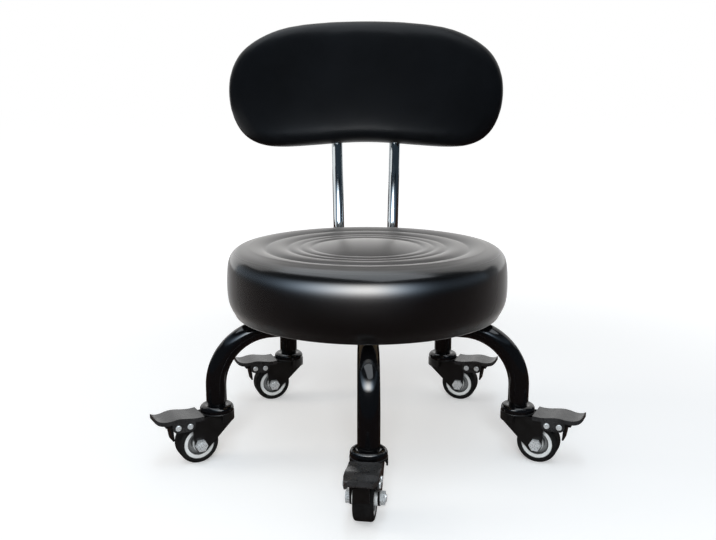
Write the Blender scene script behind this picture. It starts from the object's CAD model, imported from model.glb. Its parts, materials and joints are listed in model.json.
import json
import math

import bmesh
import bpy
from mathutils import Matrix, Vector, noise


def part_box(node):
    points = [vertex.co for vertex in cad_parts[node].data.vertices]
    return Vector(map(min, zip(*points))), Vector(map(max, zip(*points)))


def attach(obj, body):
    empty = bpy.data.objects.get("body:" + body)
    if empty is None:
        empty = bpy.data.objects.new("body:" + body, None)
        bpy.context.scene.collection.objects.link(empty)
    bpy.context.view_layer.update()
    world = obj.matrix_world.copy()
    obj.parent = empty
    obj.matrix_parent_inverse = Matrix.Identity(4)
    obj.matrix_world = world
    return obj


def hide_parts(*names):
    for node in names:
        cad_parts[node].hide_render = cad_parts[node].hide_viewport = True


# Metres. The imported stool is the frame: Z is up, the floor is Z = 0, and the sitter faces -Y.
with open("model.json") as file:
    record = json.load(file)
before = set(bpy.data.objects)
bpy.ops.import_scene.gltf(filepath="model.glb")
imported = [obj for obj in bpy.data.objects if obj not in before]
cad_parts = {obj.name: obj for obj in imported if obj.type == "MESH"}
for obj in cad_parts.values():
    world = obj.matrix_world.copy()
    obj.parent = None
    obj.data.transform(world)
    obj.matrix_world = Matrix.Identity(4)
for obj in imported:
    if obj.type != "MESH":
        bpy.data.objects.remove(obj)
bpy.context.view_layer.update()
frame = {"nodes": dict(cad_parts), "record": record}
nodes = frame["nodes"]
mm = 0.001

# Camera, fitted to the photograph's 716 by 540 frame
photo_width_px = 716
camera_focal_px = 830.0
camera_sensor_mm = 36.0
camera_place = (-0.0115, -1.030, 0.430)
camera_pitch_deg = 11.35

# Light: a lamp is a place, a size, a power and a colour, and reflections don't show it
world_fill = 0.5
aim_height = 0.25
window_lamp = ((-0.05, -3.6, 1.8), (1.15, 0.55), 68.0, (0.90, 0.96, 1.0))
strip_lamp = ((-0.05, -1.2, 2.6), (0.45, 2.6), 16.0, (0.74, 0.88, 1.0))
side_lamp = ((-1.9, 0.1, 0.9), (0.7, 1.4), 9.0, (1.0, 0.93, 0.84))

# Cards that only reflections show: a middle, a size, a facing point, a colour and a strength
sky_card = ((-0.1, -0.2, 2.6), (4.0, 2.2), (0.0, -0.1, 0.0), (0.88, 0.94, 1.0), 2.6)
bar_card = ((-0.33, 0.16, 0.31), (0.34, 0.16), (0.0, 0.19, 0.31), (1.0, 1.0, 1.0), 1.1)

# A soft glow round the seat's front that only reflections show, by azimuth from the front
# (negative to the left) and by height
glow_radius = 0.30
glow_azimuths_deg = (-100, 80)
glow_azimuth_step_deg = 4
glow_heights = (0.216, 0.248, 0.345)
glow_height_steps = 14
glow_strength = 17.5
glow_reach_left_deg = 23.0
glow_reach_right_deg = 13.5
glow_tail_share = 0.022
glow_middle_colour = (1.0, 1.0, 0.99)
glow_side_colour = (0.58, 0.78, 1.0)

# The dark room that only reflections show, open at the back for the white surround
room_radius = 4.6
room_steps = 48
room_window_half_width_deg = 50.0
room_window_top_deg = 62.0
room_skylight_half_width_deg = 78.0
room_skylight_foot_deg = 22.0
room_colour = (0.030, 0.042, 0.055)
mat_inner_radius = 0.02
mat_height = 0.0006
mat_opening_half_width_deg = 14.0
mat_colour = (0.050, 0.028, 0.020)

# Floor
floor_size = 60.0
floor_colour = 0.86
floor_roughness = 0.9
floor_glow_near = 0.26
floor_glow_far = 0.57
floor_near_radius = 0.45
floor_far_radius = 1.5

# Seat cushion, where its radius and its heights come from the frame
seat_rim_in = 9.0 * mm
seat_rim_rise = 0.6 * mm
seat_crown_in = 28.0 * mm
seat_low_side = (1.6 * mm, 17.0 * mm)
seat_widest_rise = 40.0 * mm
seat_roll = (2.6 * mm, 16.5 * mm)
seat_shoulder = (12.4 * mm, 4.0 * mm)
seat_side_points_per_span = 9
seat_dome_rise = 7.5 * mm
seat_crown_rise = 4.2 * mm
seat_crown_power = 2.4
seat_channel_radius_shares = [0.726, 0.566, 0.48, 0.394]
seat_ring_rise_share = 0.115
seat_channel_softness = 1.4 * mm
seat_softening_steps = 6
seat_softening_steps_per_width = 3.0
seat_step = 1.0 * mm
seat_segments = 240
seat_turned_edge = 26.0 * mm
seat_turned_spare = 0.012 * mm
seat_under_shares = (0.15, 0.3, 0.45, 0.6, 0.75, 0.88)
seat_cover_thickness = 1.2 * mm
seat_room_over_board = 3.6 * mm
seat_room_middle_radius = 10.0 * mm
seat_room_middle_share = 0.5
seat_board_gap = 0.6 * mm
pleat_count = 46
pleat_depth = 0.8 * mm
pleat_depth_shares = (0.6, 0.4)
pleat_slope = 1.6
pleat_edge_wander = 1.6 * mm
pleat_wander = 2.5
pleat_wander_scale = 2.2
pleat_wander_seed = 4.7
gather_depth = 0.35 * mm
gather_height = 16.0 * mm
gather_margin = 1.0 * mm

# Backrest cushion, in its own frame: X to the side, Y up, Z out of its front
pad_lean_deg = 4.0
pad_width = 391.0 * mm
pad_height = 173.0 * mm
pad_thickness = 46.0 * mm
pad_board_middle = 6.2 * mm
pad_crown_radius = 1.6
pad_front_rounding = 20.0 * mm
pad_front_steps = 8
pad_back_rounding = 6.0 * mm
pad_back_steps = 4
pad_flat_back = 0.6 * mm
pad_spare = 3.8 * mm
pad_outline_shares = [
    (0.0, 1.0),
    (0.465, 0.937),
    (0.679, 0.805),
    (0.845, 0.609),
    (0.952, 0.346),
    (1.0, -0.09),
    (0.963, -0.522),
    (0.889, -0.794),
    (0.775, -0.945),
    (0.603, -1.0),
    (0.3, -0.965),
    (0.0, -0.924),
]
pad_points_per_span = 6
pad_outline_passes = 14
pad_middle_shares = [0.02, 0.15, 0.3, 0.45, 0.6, 0.72, 0.83, 0.92]
pad_voxel = 4.0 * mm
pad_pressure = 4.0
pad_cap = 4.0 * mm
pad_evening_passes = 40
pad_relaxing_passes = 6
cloth_quality = 6
sim_frames = 20

# Looks, with linear colours. The values of a noise mostly lie within noise_spread.
noise_spread = (0.3, 0.7)
leather_shade_shares = (0.8, 1.35)
seat_skin_colour = (0.0016, 0.0016, 0.0018)
seat_skin_specular = 0.6
seat_polished_roughness = 0.2
seat_worn_roughness = 0.35
seat_worn_colour = (0.040, 0.037, 0.035)
seat_worn_below_top = (4.0 * mm, 14.0 * mm)
seat_sheen_weight = 0.5
seat_sheen_roughness = 0.34
seat_sheen_colour = (1.0, 0.96, 0.93, 1)
back_skin_colour = (0.0028, 0.0034, 0.0045)
back_skin_specular = 0.16
back_skin_roughness = 0.38
back_skin_roughness_spread = 0.015

# Satin blacks: the darkest and the lightest colour, and the roughness
satin_black = ((0.004, 0.004, 0.004), (0.008, 0.008, 0.008), 0.38)
pedal_black = ((0.014, 0.014, 0.0145), (0.032, 0.032, 0.033), 0.29)
plug_black = ((0.006, 0.006, 0.006), (0.01, 0.01, 0.01), 0.5)
satin_roughness_spread = 0.07


# Camera


def make_camera():
    """The photograph's view."""
    data = bpy.data.cameras.new("camera")
    data.sensor_width = camera_sensor_mm
    data.lens = camera_focal_px / photo_width_px * camera_sensor_mm
    camera = bpy.data.objects.new("camera", data)
    tilt = Matrix.Rotation(math.radians(90.0 - camera_pitch_deg), 4, "X")
    camera.matrix_world = Matrix.Translation(camera_place) @ tilt
    bpy.context.scene.collection.objects.link(camera)
    bpy.context.scene.camera = camera


# Light and floor


def make_lamp(name, place, size, power, color):
    """A soft rectangular lamp aimed at the seat, which reflections don't show."""
    data = bpy.data.lights.new(name, "AREA")
    data.shape = "RECTANGLE"
    data.size = size[0]
    data.size_y = size[1]
    data.energy = power
    data.color = color
    lamp = bpy.data.objects.new(name, data)
    lamp.location = place
    aim = Vector((0, 0, aim_height)) - Vector(place)
    lamp.rotation_euler = aim.to_track_quat("-Z", "Y").to_euler()
    lamp.visible_glossy = False
    bpy.context.scene.collection.objects.link(lamp)


def seen_directly(tree):
    """1 for camera, glossy and transmission rays, and 0 for the rest."""
    path = tree.nodes.new("ShaderNodeLightPath")
    either = path.outputs["Is Camera Ray"]
    for name in ("Is Glossy Ray", "Is Transmission Ray"):
        larger = tree.nodes.new("ShaderNodeMath")
        larger.operation = "MAXIMUM"
        tree.links.new(either, larger.inputs[0])
        tree.links.new(path.outputs[name], larger.inputs[1])
        either = larger.outputs[0]
    return either


def make_world():
    """A white surround to look at, which lights the stool at a plain level."""
    world = bpy.data.worlds.new("studio")
    bpy.context.scene.world = world
    world.use_nodes = True
    tree = world.node_tree
    level = tree.nodes.new("ShaderNodeMapRange")
    level.inputs["To Min"].default_value = world_fill
    level.inputs["To Max"].default_value = 1.0
    tree.links.new(seen_directly(tree), level.inputs["Value"])
    background = tree.nodes["Background"]
    background.inputs["Color"].default_value = (1, 1, 1, 1)
    tree.links.new(level.outputs["Result"], background.inputs["Strength"])


def glow_look(name, colour):
    """A flat colour that gives its own light and takes none."""
    made = bpy.data.materials.new(name)
    made.use_nodes = True
    shader = made.node_tree.nodes["Principled BSDF"]
    shader.inputs["Base Color"].default_value = (0, 0, 0, 1)
    shader.inputs["Specular IOR Level"].default_value = 0.0
    shader.inputs["Emission Color"].default_value = (*colour, 1)
    shader.inputs["Emission Strength"].default_value = 1.0
    return made


def only_reflected(piece):
    """Part of the stage that shows in reflections alone and casts no shadow."""
    piece.visible_camera = False
    piece.visible_diffuse = False
    piece.visible_transmission = False
    piece.visible_shadow = False


def make_card(name, middle, size, facing, colour, strength):
    """A glowing card that only reflections show, facing a point."""
    look = glow_look(name, [part * strength for part in colour])
    card = bmesh.new()
    corners = [(-size[0] / 2, -size[1] / 2), (size[0] / 2, -size[1] / 2)]
    corners += [(-x, -y) for x, y in corners]
    card.faces.new([card.verts.new((x, y, 0)) for x, y in corners])
    piece = link(name, card, look, False)
    piece.location = middle
    aim = Vector(facing) - Vector(middle)
    piece.rotation_euler = aim.to_track_quat("Z", "Y").to_euler()
    only_reflected(piece)


def glow_at(azimuth_deg, height):
    """The glow's colour at a place: brightest in front, and bluer and weaker to the sides."""
    foot, bright, top = glow_heights
    rise = (height - foot) / (bright - foot) if height < bright else (top - height) / (top - bright)
    reach = glow_reach_left_deg if azimuth_deg < 0 else glow_reach_right_deg
    across = math.exp(-((azimuth_deg / reach) ** 2) / 2)
    level = rise * rise * (3 - 2 * rise) * (glow_tail_share + (1 - glow_tail_share) * across)
    return [
        glow_strength * level * (across * middle + (1 - across) * side)
        for middle, side in zip(glow_middle_colour, glow_side_colour)
    ]


def make_glow():
    """A bent band round the seat's front whose own points say how it glows."""
    look = glow_look("front_glow", (1, 1, 1))
    tree = look.node_tree
    colour = tree.nodes.new("ShaderNodeAttribute")
    colour.attribute_name = "glow"
    tree.links.new(colour.outputs["Color"], tree.nodes["Principled BSDF"].inputs["Emission Color"])
    band = bmesh.new()
    layer = band.verts.layers.float_color.new("glow")
    rows = []
    for step in range(glow_height_steps + 1):
        height = glow_heights[0] + (glow_heights[2] - glow_heights[0]) * step / glow_height_steps
        row = []
        for azimuth in range(glow_azimuths_deg[0], glow_azimuths_deg[1] + 1, glow_azimuth_step_deg):
            angle = math.radians(azimuth)
            spot = band.verts.new((glow_radius * math.sin(angle), -glow_radius * math.cos(angle), height))
            spot[layer] = (*glow_at(azimuth, height), 1.0)
            row.append(spot)
        rows.append(row)
    for low, high in zip(rows, rows[1:]):
        for index in range(len(low) - 1):
            band.faces.new((low[index], low[index + 1], high[index + 1], high[index]))
    only_reflected(link("front_glow", band, look))


def behind(x, y, half_width_deg):
    """Whether a place lies within an opening of that half width behind the stool."""
    return abs(math.atan2(x, y)) < math.radians(half_width_deg)


def make_dark_room():
    """A dark shell and a dark mat round the stool, both open at the back."""
    shell = bmesh.new()
    bmesh.ops.create_uvsphere(shell, u_segments=room_steps, v_segments=room_steps, radius=room_radius)
    opened = []
    for face in shell.faces:
        middle = face.calc_center_median()
        height = math.asin(middle.normalized().z)
        window = behind(middle.x, middle.y, room_window_half_width_deg)
        skylight = behind(middle.x, middle.y, room_skylight_half_width_deg)
        skylight = skylight and height > math.radians(room_skylight_foot_deg)
        if height < 0 or (height < math.radians(room_window_top_deg) and (window or skylight)):
            opened.append(face)
    bmesh.ops.delete(shell, geom=opened, context="FACES")
    only_reflected(link("dark_room", shell, glow_look("dark_room", room_colour)))
    rings = []
    for radius in (mat_inner_radius, room_radius):
        angles = [2 * math.pi * step / room_steps for step in range(room_steps)]
        rings.append([Vector((radius * math.cos(a), radius * math.sin(a), mat_height)) for a in angles])
    mat = skin(rings, False, False)
    middles = [(face, face.calc_center_median()) for face in mat.faces]
    opened = [face for face, at in middles if behind(at.x, at.y, mat_opening_half_width_deg)]
    bmesh.ops.delete(mat, geom=opened, context="FACES")
    only_reflected(link("dark_mat", mat, glow_look("dark_mat", mat_colour)))


def make_floor():
    """A wide white floor that keeps the stool's shadow and is plain white further off."""
    bpy.ops.mesh.primitive_plane_add(size=floor_size)
    floor = bpy.context.object
    floor.name = "floor"
    made = bpy.data.materials.new("floor_white")
    made.use_nodes = True
    tree = made.node_tree
    shader = tree.nodes["Principled BSDF"]
    shader.inputs["Base Color"].default_value = (floor_colour, floor_colour, floor_colour, 1)
    shader.inputs["Roughness"].default_value = floor_roughness
    shader.inputs["Specular IOR Level"].default_value = 0.0
    distance = tree.nodes.new("ShaderNodeVectorMath")
    distance.operation = "LENGTH"
    tree.links.new(tree.nodes.new("ShaderNodeTexCoord").outputs["Object"], distance.inputs[0])
    reach = tree.nodes.new("ShaderNodeMapRange")
    reach.interpolation_type = "SMOOTHSTEP"
    reach.inputs["From Min"].default_value = floor_near_radius
    reach.inputs["From Max"].default_value = floor_far_radius
    reach.inputs["To Min"].default_value = floor_glow_near
    reach.inputs["To Max"].default_value = floor_glow_far
    tree.links.new(distance.outputs["Value"], reach.inputs["Value"])
    glow = tree.nodes.new("ShaderNodeMath")
    glow.operation = "MULTIPLY"
    tree.links.new(seen_directly(tree), glow.inputs[0])
    tree.links.new(reach.outputs["Result"], glow.inputs[1])
    shader.inputs["Emission Color"].default_value = (1, 1, 1, 1)
    tree.links.new(glow.outputs[0], shader.inputs["Emission Strength"])
    floor.data.materials.append(made)


# Materials


class Look:
    """A material in the making. Its textures follow the piece's own place, in metres."""

    def __init__(self, name, color, roughness, metallic=0.0, specular=0.5):
        self.material = bpy.data.materials.new(name)
        self.material.use_nodes = True
        self.tree = self.material.node_tree
        self.shader = self.tree.nodes["Principled BSDF"]
        self.shader.inputs["Base Color"].default_value = (*color, 1)
        self.shader.inputs["Roughness"].default_value = roughness
        self.shader.inputs["Metallic"].default_value = metallic
        self.shader.inputs["Specular IOR Level"].default_value = specular
        self.place = self.tree.nodes.new("ShaderNodeTexCoord").outputs["Object"]
        self.normal = None

    def stretched(self, scales):
        """The place, stretched along the axes."""
        mapping = self.tree.nodes.new("ShaderNodeMapping")
        mapping.inputs["Scale"].default_value = scales
        self.tree.links.new(self.place, mapping.inputs["Vector"])
        return mapping.outputs["Vector"]

    def cloud(self, scale, detail=3.0, place=None):
        """Soft noise from 0 to 1."""
        made = self.tree.nodes.new("ShaderNodeTexNoise")
        made.inputs["Scale"].default_value = scale
        made.inputs["Detail"].default_value = detail
        self.tree.links.new(place or self.place, made.inputs["Vector"])
        return made.outputs["Fac"]

    def pebbles(self, scale, smoothness=0.35):
        """Rounded cells, as of grain."""
        made = self.tree.nodes.new("ShaderNodeTexVoronoi")
        made.feature = "SMOOTH_F1"
        made.inputs["Scale"].default_value = scale
        made.inputs["Smoothness"].default_value = smoothness
        self.tree.links.new(self.place, made.inputs["Vector"])
        return made.outputs["Distance"]

    def mapped(self, value, low, high):
        """A noise's value, spread over low to high."""
        made = self.tree.nodes.new("ShaderNodeMapRange")
        made.inputs["From Min"].default_value = noise_spread[0]
        made.inputs["From Max"].default_value = noise_spread[1]
        made.inputs["To Min"].default_value = low
        made.inputs["To Max"].default_value = high
        self.tree.links.new(value, made.inputs["Value"])
        return made.outputs["Result"]

    def color_between(self, value, dark, light):
        """The base colour runs from dark to light with a value."""
        made = self.tree.nodes.new("ShaderNodeMix")
        made.data_type = "RGBA"
        made.inputs[6].default_value = (*dark, 1)
        made.inputs[7].default_value = (*light, 1)
        self.tree.links.new(self.mapped(value, 0.0, 1.0), made.inputs[0])
        self.tree.links.new(made.outputs[2], self.shader.inputs["Base Color"])

    def roughness_between(self, value, low, high):
        """The roughness runs from low to high with a value."""
        self.roughness_from(self.mapped(value, low, high))

    def by_height(self, low_z, high_z, below=0.0, above=1.0):
        """A value that changes softly from below one height to above another."""
        spot = self.tree.nodes.new("ShaderNodeSeparateXYZ")
        self.tree.links.new(self.place, spot.inputs[0])
        made = self.tree.nodes.new("ShaderNodeMapRange")
        made.interpolation_type = "SMOOTHSTEP"
        made.inputs["From Min"].default_value = low_z
        made.inputs["From Max"].default_value = high_z
        made.inputs["To Min"].default_value = below
        made.inputs["To Max"].default_value = above
        self.tree.links.new(spot.outputs["Z"], made.inputs["Value"])
        return made.outputs["Result"]

    def roughness_from(self, value):
        """The roughness follows a value."""
        self.tree.links.new(value, self.shader.inputs["Roughness"])

    def grime_in_recesses(self, reach, shut, clear, colour):
        """The base colour changes to another one where other surfaces close it in."""
        hidden = self.tree.nodes.new("ShaderNodeAmbientOcclusion")
        hidden.inputs["Distance"].default_value = reach
        share = self.tree.nodes.new("ShaderNodeMapRange")
        share.inputs["From Min"].default_value = shut
        share.inputs["From Max"].default_value = clear
        share.inputs["To Min"].default_value = 1.0
        share.inputs["To Max"].default_value = 0.0
        self.tree.links.new(hidden.outputs["AO"], share.inputs["Value"])
        self.blend_color(share.outputs["Result"], colour)

    def blend_color(self, share, colour):
        """Blends another colour over the base colour, by a share from 0 to 1."""
        made = self.tree.nodes.new("ShaderNodeMix")
        made.data_type = "RGBA"
        base = self.shader.inputs["Base Color"]
        self.tree.links.new(base.links[0].from_socket, made.inputs[6])
        made.inputs[7].default_value = (*colour, 1)
        self.tree.links.new(share, made.inputs[0])
        self.tree.links.new(made.outputs[2], base)

    def bump(self, height, depth):
        """Raises the surface by a texture, on top of what is raised already."""
        made = self.tree.nodes.new("ShaderNodeBump")
        made.inputs["Strength"].default_value = 1.0
        made.inputs["Distance"].default_value = depth
        self.tree.links.new(height, made.inputs["Height"])
        if self.normal:
            self.tree.links.new(self.normal, made.inputs["Normal"])
        self.normal = made.outputs["Normal"]
        self.tree.links.new(self.normal, self.shader.inputs["Normal"])


def leatherette(name, color, roughness, specular):
    """Smooth moulded leatherette: a very fine grain over a slightly uneven skin."""
    look = Look(name, color, roughness, specular=specular)
    dark, light = ([part * share for part in color] for share in leather_shade_shares)
    look.color_between(look.cloud(scale=14.0, detail=4.0), dark, light)
    look.bump(look.pebbles(scale=700.0), depth=0.004 * mm)
    look.bump(look.cloud(scale=20.0, detail=1.0), depth=0.10 * mm)
    return look


def seat_leatherette():
    """The seat's leatherette: worn matt on top and still polished on its side."""
    look = leatherette("seat_leatherette", seat_skin_colour, seat_polished_roughness, seat_skin_specular)
    top_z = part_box("seat_cover")[1].z
    worn_from = top_z - seat_worn_below_top[1]
    worn_to = top_z - seat_worn_below_top[0]
    look.roughness_from(look.by_height(worn_from, worn_to, seat_polished_roughness, seat_worn_roughness))
    look.blend_color(look.by_height(worn_from, worn_to), seat_worn_colour)
    look.shader.inputs["Sheen Weight"].default_value = seat_sheen_weight
    look.shader.inputs["Sheen Roughness"].default_value = seat_sheen_roughness
    look.shader.inputs["Sheen Tint"].default_value = seat_sheen_colour
    return look.material


def back_leatherette():
    """The backrest's leatherette: bluer and less shiny."""
    look = leatherette("back_leatherette", back_skin_colour, back_skin_roughness, back_skin_specular)
    low = back_skin_roughness - back_skin_roughness_spread
    high = back_skin_roughness + back_skin_roughness_spread
    look.roughness_between(look.cloud(scale=30.0, detail=2.0), low, high)
    return look.material


def gloss_paint():
    """Stoved gloss black, with a trace of orange peel."""
    look = Look("gloss_black_paint", color=(0.0025, 0.0025, 0.003), roughness=0.11)
    look.roughness_between(look.cloud(scale=60.0, detail=4.0), low=0.07, high=0.14)
    look.color_between(look.cloud(scale=9.0), dark=(0.002, 0.002, 0.0025), light=(0.0035, 0.0035, 0.004))
    look.bump(look.cloud(scale=350.0, detail=2.0), depth=0.02 * mm)
    return look.material


def satin_paint(name, dark, light, roughness):
    """Satin black, as on pressed plate."""
    look = Look(name, dark, roughness)
    look.color_between(look.cloud(scale=70.0, detail=6.0), dark, light)
    low = roughness - satin_roughness_spread
    high = roughness + satin_roughness_spread
    look.roughness_between(look.cloud(scale=160.0, detail=5.0), low, high)
    look.bump(look.cloud(scale=900.0, detail=3.0), depth=0.015 * mm)
    return look.material


def chrome():
    """Polished chrome tube."""
    look = Look("polished_chrome", color=(0.60, 0.64, 0.66), roughness=0.06, metallic=1.0)
    along = look.stretched((1.0, 1.0, 0.1))
    look.roughness_between(look.cloud(scale=500.0, detail=4.0, place=along), low=0.035, high=0.09)
    look.bump(look.cloud(scale=160.0, detail=2.0, place=along), depth=0.008 * mm)
    return look.material


def zinc():
    """Bright zinc plate on rolled steel."""
    look = Look("bright_zinc", color=(0.74, 0.76, 0.78), roughness=0.30, metallic=0.45)
    patches = look.cloud(scale=240.0, detail=5.0)
    look.color_between(patches, dark=(0.66, 0.69, 0.70), light=(0.84, 0.86, 0.87))
    look.roughness_between(look.cloud(scale=600.0, detail=5.0), low=0.22, high=0.38)
    look.bump(look.cloud(scale=900.0, detail=4.0), depth=0.03 * mm)
    return look.material


def tyre():
    """Matt black tyre with faint dust."""
    look = Look("tyre_black", color=(0.006, 0.006, 0.006), roughness=0.62, specular=0.4)
    dust = look.cloud(scale=120.0, detail=6.0)
    look.color_between(dust, dark=(0.004, 0.004, 0.004), light=(0.010, 0.010, 0.010))
    look.roughness_between(look.cloud(scale=300.0, detail=5.0), low=0.62, high=0.82)
    look.bump(look.cloud(scale=1300.0, detail=4.0), depth=0.06 * mm)
    return look.material


def core_plastic():
    """Pale moulded plastic of the wheel's core, grimy in its recesses."""
    look = Look("pale_core_plastic", color=(0.74, 0.75, 0.74), roughness=0.38)
    patches = look.cloud(scale=90.0, detail=5.0)
    look.color_between(patches, dark=(0.68, 0.69, 0.68), light=(0.80, 0.81, 0.80))
    look.grime_in_recesses(reach=9.0 * mm, shut=0.30, clear=0.80, colour=(0.035, 0.036, 0.036))
    look.roughness_between(look.cloud(scale=260.0, detail=4.0), low=0.30, high=0.46)
    look.bump(look.cloud(scale=700.0, detail=3.0), depth=0.03 * mm)
    return look.material


def plywood():
    """Raw birch plywood, with its grain along X."""
    look = Look("raw_plywood", color=(0.55, 0.40, 0.24), roughness=0.7, specular=0.3)
    grain = look.cloud(scale=60.0, detail=8.0, place=look.stretched((0.06, 1.0, 1.0)))
    look.color_between(grain, dark=(0.44, 0.30, 0.17), light=(0.64, 0.48, 0.31))
    fibres = look.cloud(scale=500.0, detail=6.0, place=look.stretched((0.05, 1.0, 1.0)))
    look.bump(fibres, depth=0.15 * mm)
    return look.material


def foam():
    """Open foam."""
    look = Look("cushion_foam", color=(0.70, 0.64, 0.45), roughness=0.95, specular=0.1)
    patches = look.cloud(scale=300.0, detail=6.0)
    look.color_between(patches, dark=(0.62, 0.55, 0.36), light=(0.78, 0.72, 0.54))
    look.bump(look.pebbles(scale=700.0), depth=0.4 * mm)
    return look.material


def dress_nodes(looks):
    """Each CAD node takes the look of its material slot."""
    for entry in frame["record"]["subparts"]:
        piece = nodes[entry["node"]]
        piece.data.materials.clear()
        piece.data.materials.append(looks[entry["material_slot"]])


# Shared modelling


def link(name, mesh_code, look, smooth=True):
    """A new object from a bmesh."""
    mesh = bpy.data.meshes.new(name)
    mesh_code.to_mesh(mesh)
    mesh_code.free()
    mesh.polygons.foreach_set("use_smooth", [smooth] * len(mesh.polygons))
    mesh.materials.append(look)
    piece = bpy.data.objects.new(name, mesh)
    bpy.context.scene.collection.objects.link(piece)
    return piece


def catmull(before, start, end, after, share):
    """A point between start and end on a smooth curve through all four."""
    square = share * share
    cube = square * share
    return 0.5 * (
        2 * start
        + (end - before) * share
        + (2 * before - 5 * start + 4 * end - after) * square
        + (3 * start - before - 3 * end + after) * cube
    )


def smooth_line(points, per_span):
    """An open smooth curve through points."""
    ends = [2 * points[0] - points[1]] + points + [2 * points[-1] - points[-2]]
    line = []
    for index in range(len(points) - 1):
        for step in range(per_span):
            line.append(catmull(*ends[index : index + 4], step / per_span))
    return line + [points[-1]]


def smooth_loop(points, per_span):
    """A closed smooth curve through points."""
    count = len(points)
    loop = []
    for index in range(count):
        around = [points[(index + shift) % count] for shift in (-1, 0, 1, 2)]
        loop += [catmull(*around, step / per_span) for step in range(per_span)]
    return loop


def skin(rings, close_start, close_end):
    """A bmesh skinned over closed rings of points, with its ends closed or left open."""
    made = bmesh.new()
    rows = [[made.verts.new(point) for point in ring] for ring in rings]
    for near, far in zip(rows, rows[1:]):
        count = len(near)
        for index in range(count):
            after = (index + 1) % count
            made.faces.new((near[index], near[after], far[after], far[index]))
    for closed, row, order in ((close_start, rows[0], -1), (close_end, rows[-1], 1)):
        if closed:
            made.faces.new(row[::order])
    bmesh.ops.recalc_face_normals(made, faces=made.faces)
    return made


# Seat cushion


def ring_height(radius, seat_radius):
    """How far the ring channels' arcs stand above the channels, at a radius."""
    edges = [seat_radius * share for share in seat_channel_radius_shares]
    if radius <= edges[-1]:
        share = radius / edges[-1]
        return seat_dome_rise * (1 - share * share)
    for outer, inner in zip(edges, edges[1:]):
        if inner < radius <= outer:
            share = (radius - (outer + inner) / 2) / ((outer - inner) / 2)
            return (outer - inner) * seat_ring_rise_share * (1 - share * share)
    crown_edge = seat_radius - seat_crown_in
    share = (crown_edge - radius) / (crown_edge - edges[0])
    return seat_crown_rise * (1 - max(0.0, share) ** seat_crown_power)


def soft_ring_height(radius, seat_radius):
    """The same, with each channel's crease rounded."""
    total = 0.0
    weights = 0.0
    for step in range(-seat_softening_steps, seat_softening_steps + 1):
        shift = step / seat_softening_steps_per_width
        weight = math.exp(-shift * shift / 2)
        total += weight * ring_height(abs(radius + shift * seat_channel_softness), seat_radius)
        weights += weight
    return total / weights


def seat_profile():
    """The outline of half the cushion, from its inside middle round to its top middle."""
    low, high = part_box("seat_cover")
    board_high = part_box("seat_board")[1]
    radius = (high.x - low.x) / 2
    bottom = low.z
    channel = high.z - seat_dome_rise
    crown = channel + seat_crown_rise
    room_top = board_high.z + seat_room_over_board
    room_side = board_high.x + seat_board_gap
    turned_in = radius - seat_rim_in - seat_turned_edge
    inside = [
        Vector((seat_room_middle_radius, room_top)),
        Vector((room_side * seat_room_middle_share, room_top)),
        Vector((room_side, room_top)),
        Vector((room_side, bottom + seat_cover_thickness)),
        Vector((turned_in, bottom + seat_cover_thickness)),
        Vector((turned_in, bottom)),
    ]
    under = [
        Vector((turned_in + share * (radius - seat_rim_in - turned_in), bottom))
        for share in seat_under_shares
    ]
    side = smooth_line(
        [
            Vector((radius - seat_rim_in, bottom + seat_rim_rise)),
            Vector((radius - seat_low_side[0], bottom + seat_low_side[1])),
            Vector((radius, bottom + seat_widest_rise)),
            Vector((radius - seat_roll[0], crown - seat_roll[1])),
            Vector((radius - seat_shoulder[0], crown - seat_shoulder[1])),
            Vector((radius - seat_crown_in, crown)),
        ],
        seat_side_points_per_span,
    )
    top = []
    reach = radius - seat_crown_in - seat_step
    while reach > seat_step:
        top.append(Vector((reach, channel + soft_ring_height(reach, radius))))
        reach -= seat_step
    return inside + under + side + top, radius


def make_seat(look):
    """The seat cushion: crowned, with ring channels, its cover gathered and turned in below."""
    profile, radius = seat_profile()
    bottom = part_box("seat_cover")[0].z
    turned_top = bottom + seat_cover_thickness + seat_turned_spare
    rim = radius - seat_rim_in
    rings = []
    for reach, height in profile:
        ring = []
        for index in range(seat_segments):
            angle = 2 * math.pi * index / seat_segments
            spot = Vector((math.cos(angle), math.sin(angle)))
            place = (spot.x * pleat_wander_scale, spot.y * pleat_wander_scale, pleat_wander_seed)
            wander = noise.noise(Vector(place))
            folds = math.sin(pleat_count * angle + pleat_wander * wander)
            fold = folds * folds * (pleat_depth_shares[0] + pleat_depth_shares[1] * wander)
            out = reach
            up = height
            if height < turned_top and reach < rim:
                inward = (rim - reach) / seat_turned_edge
                if height < bottom + seat_cover_thickness / 2:
                    up += pleat_depth * fold * min(1.0, inward * pleat_slope)
                out += pleat_edge_wander * wander * max(0.0, inward)
            elif height < bottom + gather_height and reach >= rim - gather_margin:
                rise = (height - bottom) / gather_height
                out -= gather_depth * fold * (1 - rise) ** 2
            ring.append(Vector((out * spot.x, out * spot.y, up)))
        rings.append(ring)
    seat = link("seat_cushion", skin(rings, True, True), look)
    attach(seat, "frame")
    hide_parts("seat_cover", "seat_foam")


# Backrest cushion


def pad_matrix():
    """From the backrest's own frame to the stool's."""
    low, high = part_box("backrest_board")
    turn = Matrix.Rotation(math.radians(90.0 - pad_lean_deg), 4, "X")
    middle = Matrix.Translation((low + high) / 2)
    return middle @ turn @ Matrix.Translation((0, 0, -pad_board_middle))


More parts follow.
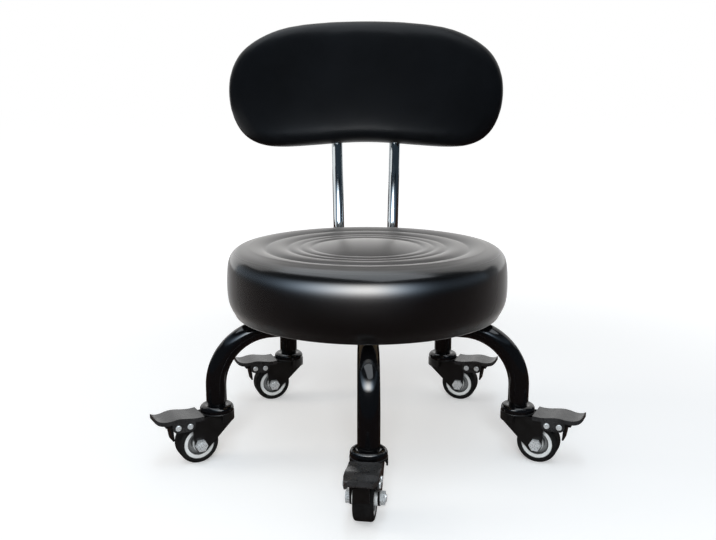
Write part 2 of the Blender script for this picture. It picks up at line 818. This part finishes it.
def pad_rings(spare):
    """Rings of points from the middle of the back to the middle of the front.

    The outline is larger than the cushion by what evening its cover draws in again.
    """
    right = [Vector(share) for share in pad_outline_shares]
    left = [Vector((-share.x, share.y)) for share in reversed(right[1:-1])]
    outline = smooth_loop(right + left, pad_points_per_span)
    for _ in range(pad_outline_passes):
        outline = [
            (outline[index - 1] + 2 * spot + outline[(index + 1) % len(outline)]) / 4
            for index, spot in enumerate(outline)
        ]
    half_x = max(spot.x for spot in outline)
    half_y = (max(spot.y for spot in outline) - min(spot.y for spot in outline)) / 2
    outline = [Vector((spot.x / half_x, spot.y / half_y)) for spot in outline]
    stations = [(pad_back_rounding, share, 0.0) for share in pad_middle_shares]
    for step in range(pad_back_steps + 1):
        angle = math.radians(90.0 * step / pad_back_steps)
        inset = pad_back_rounding * (1 - math.sin(angle))
        stations.append((inset, 1.0, pad_back_rounding * (1 - math.cos(angle))))
    for step in range(pad_front_steps + 1):
        angle = math.radians(90.0 * step / pad_front_steps)
        inset = pad_front_rounding * (1 - math.cos(angle))
        stations.append((inset, 1.0, pad_thickness - pad_front_rounding * (1 - math.sin(angle))))
    for share in reversed(pad_middle_shares):
        stations.append((pad_front_rounding, share, pad_thickness))
    rings = []
    for inset, share, height in stations:
        half_width = (pad_width / 2 - inset + spare) * share
        half_height = (pad_height / 2 - inset + spare) * share
        ring = []
        for spot in outline:
            x = spot.x * half_width
            y = spot.y * half_height
            crown = (x * x + y * y) / (2 * pad_crown_radius)
            lift = height - crown * height / pad_thickness
            ring.append(Vector((x, y, max(lift, 0.0))))
        rings.append(ring)
    return rings


def evened(values, neighbours, passes):
    """Vectors on a mesh's points, each blended with those of its neighbours."""
    for _ in range(passes):
        values = [
            (value + sum((values[near] for near in around), Vector())) / (len(around) + 1)
            for value, around in zip(values, neighbours)
        ]
    return values


def puff(piece, voxel, pressure, cap):
    """Swells a closed form as a tight cover over foam does, by cloth under pressure."""
    remesh = piece.modifiers.new("even", "REMESH")
    remesh.mode = "VOXEL"
    remesh.voxel_size = voxel
    bpy.context.view_layer.objects.active = piece
    bpy.ops.object.modifier_apply(modifier="even")
    start = [vertex.co.copy() for vertex in piece.data.vertices]
    cloth = piece.modifiers.new("cover", "CLOTH")
    cloth.settings.use_pressure = True
    cloth.settings.uniform_pressure_force = pressure
    cloth.settings.effector_weights.gravity = 0.0
    cloth.settings.quality = cloth_quality
    cloth.point_cache.frame_start = 1
    cloth.point_cache.frame_end = sim_frames
    scene = bpy.context.scene
    for count in range(1, sim_frames + 1):
        scene.frame_set(count)
    bpy.ops.object.modifier_apply(modifier="cover")
    neighbours = [[] for _ in start]
    for edge in piece.data.edges:
        first, second = edge.vertices
        neighbours[first].append(second)
        neighbours[second].append(first)
    moves = [vertex.co - rest for vertex, rest in zip(piece.data.vertices, start)]
    moves = [move * (cap / move.length) if move.length > cap else move for move in moves]
    moves = evened(moves, neighbours, pad_evening_passes)
    places = evened([rest + move for rest, move in zip(start, moves)], neighbours, pad_relaxing_passes)
    for vertex, place in zip(piece.data.vertices, places):
        vertex.co = place
    scene.frame_set(1)


def make_backrest(look):
    """The bean-shaped cushion, puffed and laid flat on its board behind."""
    pad = link("backrest_cushion", skin(pad_rings(pad_spare), True, True), look)
    puff(pad, pad_voxel, pad_pressure, pad_cap)
    for vertex in pad.data.vertices:
        if vertex.co.z < pad_flat_back:
            vertex.co.z = 0.0
    pad.data.transform(pad_matrix())
    pad.data.polygons.foreach_set("use_smooth", [True] * len(pad.data.polygons))
    finer = pad.modifiers.new("finer", "SUBSURF")
    finer.levels = 1
    finer.render_levels = 1
    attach(pad, "frame")
    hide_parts("backrest_cover", "backrest_foam")


make_camera()
make_world()
make_lamp("window_lamp", *window_lamp)
make_lamp("strip_lamp", *strip_lamp)
make_lamp("side_lamp", *side_lamp)
make_card("sky_card", *sky_card)
make_card("bar_card", *bar_card)
make_glow()
make_dark_room()
make_floor()

seat_skin = seat_leatherette()
back_skin = back_leatherette()
dress_nodes(
    {
        "seat_leatherette": seat_skin,
        "back_leatherette": back_skin,
        "foam": foam(),
        "plywood": plywood(),
        "black_gloss": gloss_paint(),
        "black_satin": satin_paint("satin_black_paint", *satin_black),
        "pedal_satin": satin_paint("pedal_black_paint", *pedal_black),
        "chrome_tube": chrome(),
        "zinc": zinc(),
        "tread": tyre(),
        "wheel_core": core_plastic(),
        "black_plastic": satin_paint("black_plastic", *plug_black),
    }
)
make_seat(seat_skin)
make_backrest(back_skin)

bpy.context.scene.view_settings.view_transform = "Standard"
